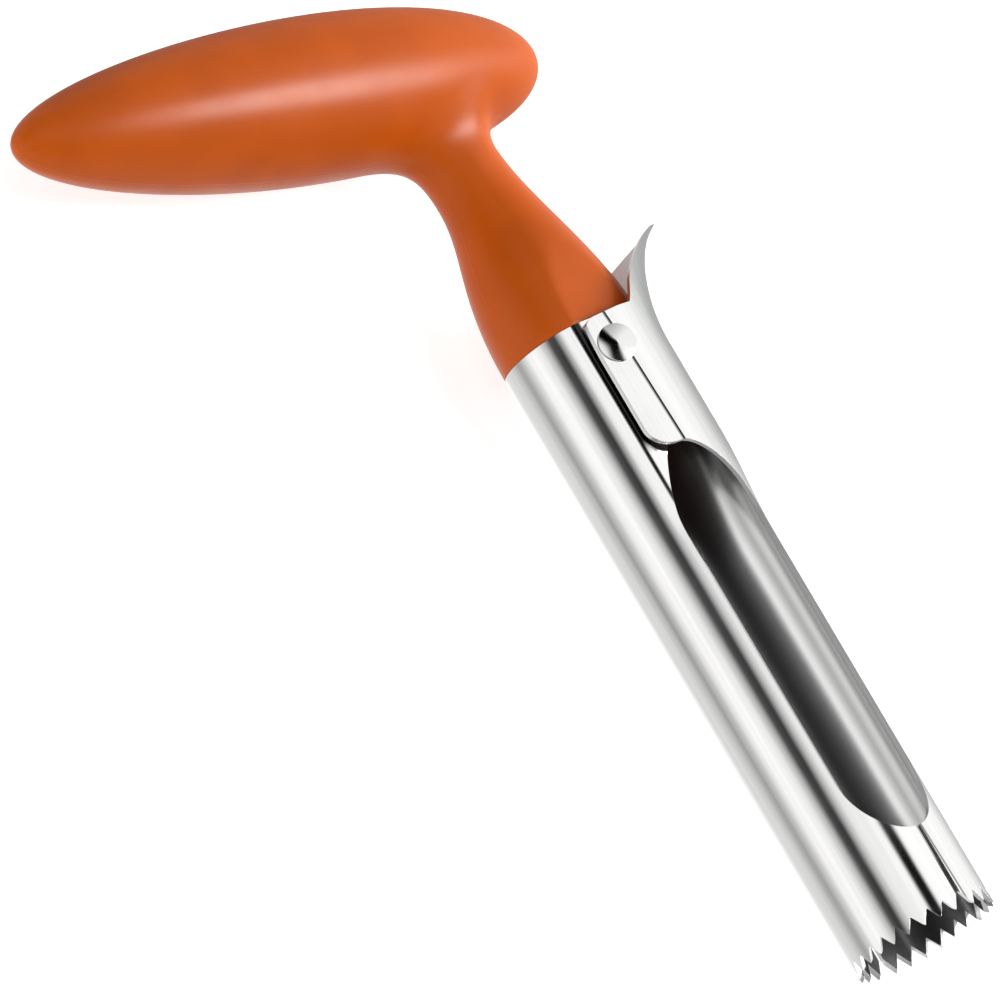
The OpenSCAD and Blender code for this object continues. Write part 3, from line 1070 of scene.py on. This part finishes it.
def paint_saddle_shade(tree, place, colour):
    """The saddle's crown and the thumb tab get painted shade, darker than its ears."""
    parts = add(tree, "SeparateXYZ", Vector=place)
    crown = spread(tree, parts.outputs["X"], *CROWN_FADE)
    saddle = spread(tree, parts.outputs["Y"], *SADDLE_FADE)
    shaded_colour = blend_colours(tree, 1.0, colour, SADDLE_PAINTED_SHADE, "MULTIPLY")
    return blend_colours(tree, calc(tree, "MULTIPLY", crown, saddle), colour, shaded_colour)


def paint_inside_shade(tree, shader, place, colour):
    """Inside of the lever: painted shade on its far half, with the tab left unshaded and rougher."""
    parts = add(tree, "SeparateXYZ", Vector=place)
    lit = spread(tree, parts.outputs["Z"], *INSIDE_FADE)
    tab = spread(tree, parts.outputs["Y"], *TAB_FADE)
    lit = calc(tree, "MAXIMUM", lit, tab)
    dark = blend_colours(tree, 1.0, colour, INSIDE_PAINTED_SHADE, "MULTIPLY")
    rough = calc(tree, "MULTIPLY_ADD", tab, TAB_ROUGHENING, INSIDE_ROUGHNESS)
    put(tree, shader.inputs["Roughness"], rough)
    return blend_colours(tree, lit, dark, colour)


def steel_finish(
        name, light, dark, gloss, grain, scratch=SHEET_SCRATCH, ears=False, inside=False, slot=False):
    """Polished stainless sheet: colours, roughness, and depths of the grain and scratches in metres."""
    finish, tree, shader = new_finish(name)
    place = millimetres(tree)
    streaks = use_group(tree, drawn_grain, Place=place)
    marks = use_group(tree, handling_marks, Place=place)
    shader.inputs["Metallic"].default_value = 1.0
    brightness = spread(tree, streaks["Streak"], low=0.3, high=0.7)
    colour = blend_colours(tree, brightness, (*dark, 1), (*light, 1))
    rough = calc(tree, "MULTIPLY_ADD", streaks["Streak"], STREAK_ROUGHENING, gloss)
    rough = calc(tree, "MULTIPLY_ADD", marks["Smear"], SMEAR_ROUGHENING, rough)
    put(tree, shader.inputs["Roughness"], rough)
    relief = calc(tree, "MULTIPLY", streaks["Fine"], grain)
    relief = calc(tree, "MULTIPLY_ADD", marks["Scratch"], -scratch, relief)
    if ears:
        crease = crease_line(tree, place)
        relief = calc(tree, "MULTIPLY_ADD", crease, -CREASE_DEPTH, relief)
        # Painted shade on the saddle's crown and in the crease's groove
        colour = blend_colours(tree, crease, paint_saddle_shade(tree, place, colour), CREASE_PAINTED_SHADE)
    # Painted shade beside each ear on the fixed blade
    if slot:
        colour = paint_slot_shade(tree, place, colour)
    # Painted shade on the far half of the lever's inside
    if inside:
        colour = paint_inside_shade(tree, shader, place, colour)
    put(tree, shader.inputs["Base Color"], colour)
    emboss(tree, shader, relief)
    return finish


def rivet_finish():
    """Turned stainless steel: fine rings round the rivet's own axis."""
    finish, tree, shader = new_finish("turned_steel")
    place = millimetres(tree)
    marks = use_group(tree, handling_marks, Place=place)
    parts = add(tree, "SeparateXYZ", Vector=place)
    x = calc(tree, "SUBTRACT", parts.outputs["X"], RIVET_X)
    y = calc(tree, "SUBTRACT", parts.outputs["Y"], RIVET_Z + ROOT_Z)
    square = calc(tree, "ADD", calc(tree, "MULTIPLY", x, x), calc(tree, "MULTIPLY", y, y))
    radius = calc(tree, "SQRT", square)
    ring = calc(tree, "SINE", calc(tree, "MULTIPLY", radius, 2 * math.pi / RING_PITCH))
    shader.inputs["Metallic"].default_value = 1.0
    shade = calc(tree, "MULTIPLY_ADD", ring, 0.5, 0.5)
    put(tree, shader.inputs["Base Color"], blend_colours(tree, shade, RING_DARK, RING_LIGHT))
    rough = calc(tree, "MULTIPLY_ADD", marks["Smear"], RIVET_SMEAR, RIVET_ROUGHNESS)
    put(tree, shader.inputs["Roughness"], rough)
    relief = calc(tree, "MULTIPLY", ring, RING_DEPTH)
    emboss(tree, shader, calc(tree, "MULTIPLY_ADD", marks["Scratch"], -RIVET_SCRATCH, relief))
    return finish


def moulding_finish():
    """Satin orange moulding: spark-eroded texture, soft flow marks and the mould's parting line."""
    finish, tree, shader = new_finish("orange_moulding")
    place = millimetres(tree)
    marks = use_group(tree, handling_marks, Place=place)
    flow = noise(tree, place, size=14.0, detail=2.0)
    grains = noise(tree, place, size=0.34, detail=2.0)
    speckle = noise(tree, place, size=0.8, detail=3.0)
    height = add(tree, "SeparateXYZ", Vector=place).outputs["Z"]
    parting = spread(tree, calc(tree, "ABSOLUTE", height), *PARTING_FADE, 1.0, 0.0)
    cloudy = spread(tree, flow, low=0.35, high=0.65)
    put(tree, shader.inputs["Base Color"], blend_colours(tree, cloudy, ORANGE_DEEP, ORANGE_LIGHT))
    shader.inputs["Specular IOR Level"].default_value = ORANGE_SPECULAR
    rough = calc(tree, "MULTIPLY_ADD", speckle, SPECKLE_ROUGHENING, ORANGE_ROUGHNESS)
    rough = calc(tree, "MULTIPLY_ADD", marks["Smear"], -SMEAR_POLISH, rough)
    put(tree, shader.inputs["Roughness"], rough)
    relief = calc(tree, "MULTIPLY", grains, MOULD_TEXTURE)
    relief = calc(tree, "MULTIPLY_ADD", parting, PARTING_HEIGHT, relief)
    emboss(tree, shader, calc(tree, "MULTIPLY_ADD", marks["Scratch"], -MOULD_SCRATCH, relief))
    return finish


place_camera()
build_floor()
light_studio()

handling_marks = make_handling_marks()
drawn_grain = make_drawn_grain()
orange = moulding_finish()
# The fixed blade's steel, with painted shade beside each ear
steel = steel_finish(
    "polished_steel", light=(0.9, 0.895, 0.885), dark=(0.84, 0.835, 0.83),
    gloss=0.07, grain=0.4e-6, slot=True)
# The lever's steel, with painted shade on the saddle's crown and in its crease
lever_steel = steel_finish(
    "lever_steel", light=(0.88, 0.885, 0.875), dark=(0.82, 0.825, 0.815),
    gloss=0.07, grain=0.4e-6, ears=True)
# Lever's inside: a lit copy of the steel, brighter than its outside, with painted shade on its far half
lever_inside_painted_shading = steel_finish(
    "lever_inside_steel", light=(0.98, 0.975, 0.97), dark=(0.94, 0.935, 0.93),
    gloss=0.2, grain=0.3e-6, scratch=0.0, inside=True)
# Fixed blade's inside: the same steel painted nearly black, as painted shade in the tube
fixed_inside_painted_shade = steel_finish(
    "fixed_inside_steel", light=(0.14, 0.14, 0.14), dark=(0.11, 0.11, 0.11),
    gloss=0.3, grain=0.5e-6, scratch=0.0)
cut_edge = steel_finish(
    "cut_edge_steel", light=(0.95, 0.95, 0.94), dark=(0.84, 0.84, 0.84),
    gloss=0.26, grain=1.0e-6)
bright = rivet_finish()

handle_skin = build_handle_skin()
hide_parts("handle")
handle_skin.data.materials.append(orange)
handle_spigot = build_spigot()
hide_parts("handle")
handle_spigot.data.materials.append(orange)
fixed_sheet = build_fixed_blade()
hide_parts("fixed_blade")
fixed_sheet.data.materials.append(steel)
fixed_sheet.data.materials.append(fixed_inside_painted_shade)
fixed_sheet.data.materials.append(cut_edge)
moving_sheet = build_moving_blade()
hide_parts("moving_blade")
moving_sheet.data.materials.append(lever_steel)
moving_sheet.data.materials.append(lever_inside_painted_shading)
moving_sheet.data.materials.append(cut_edge)
rivet = build_rivet()
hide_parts("pivot_rivet")
rivet.data.materials.append(bright)
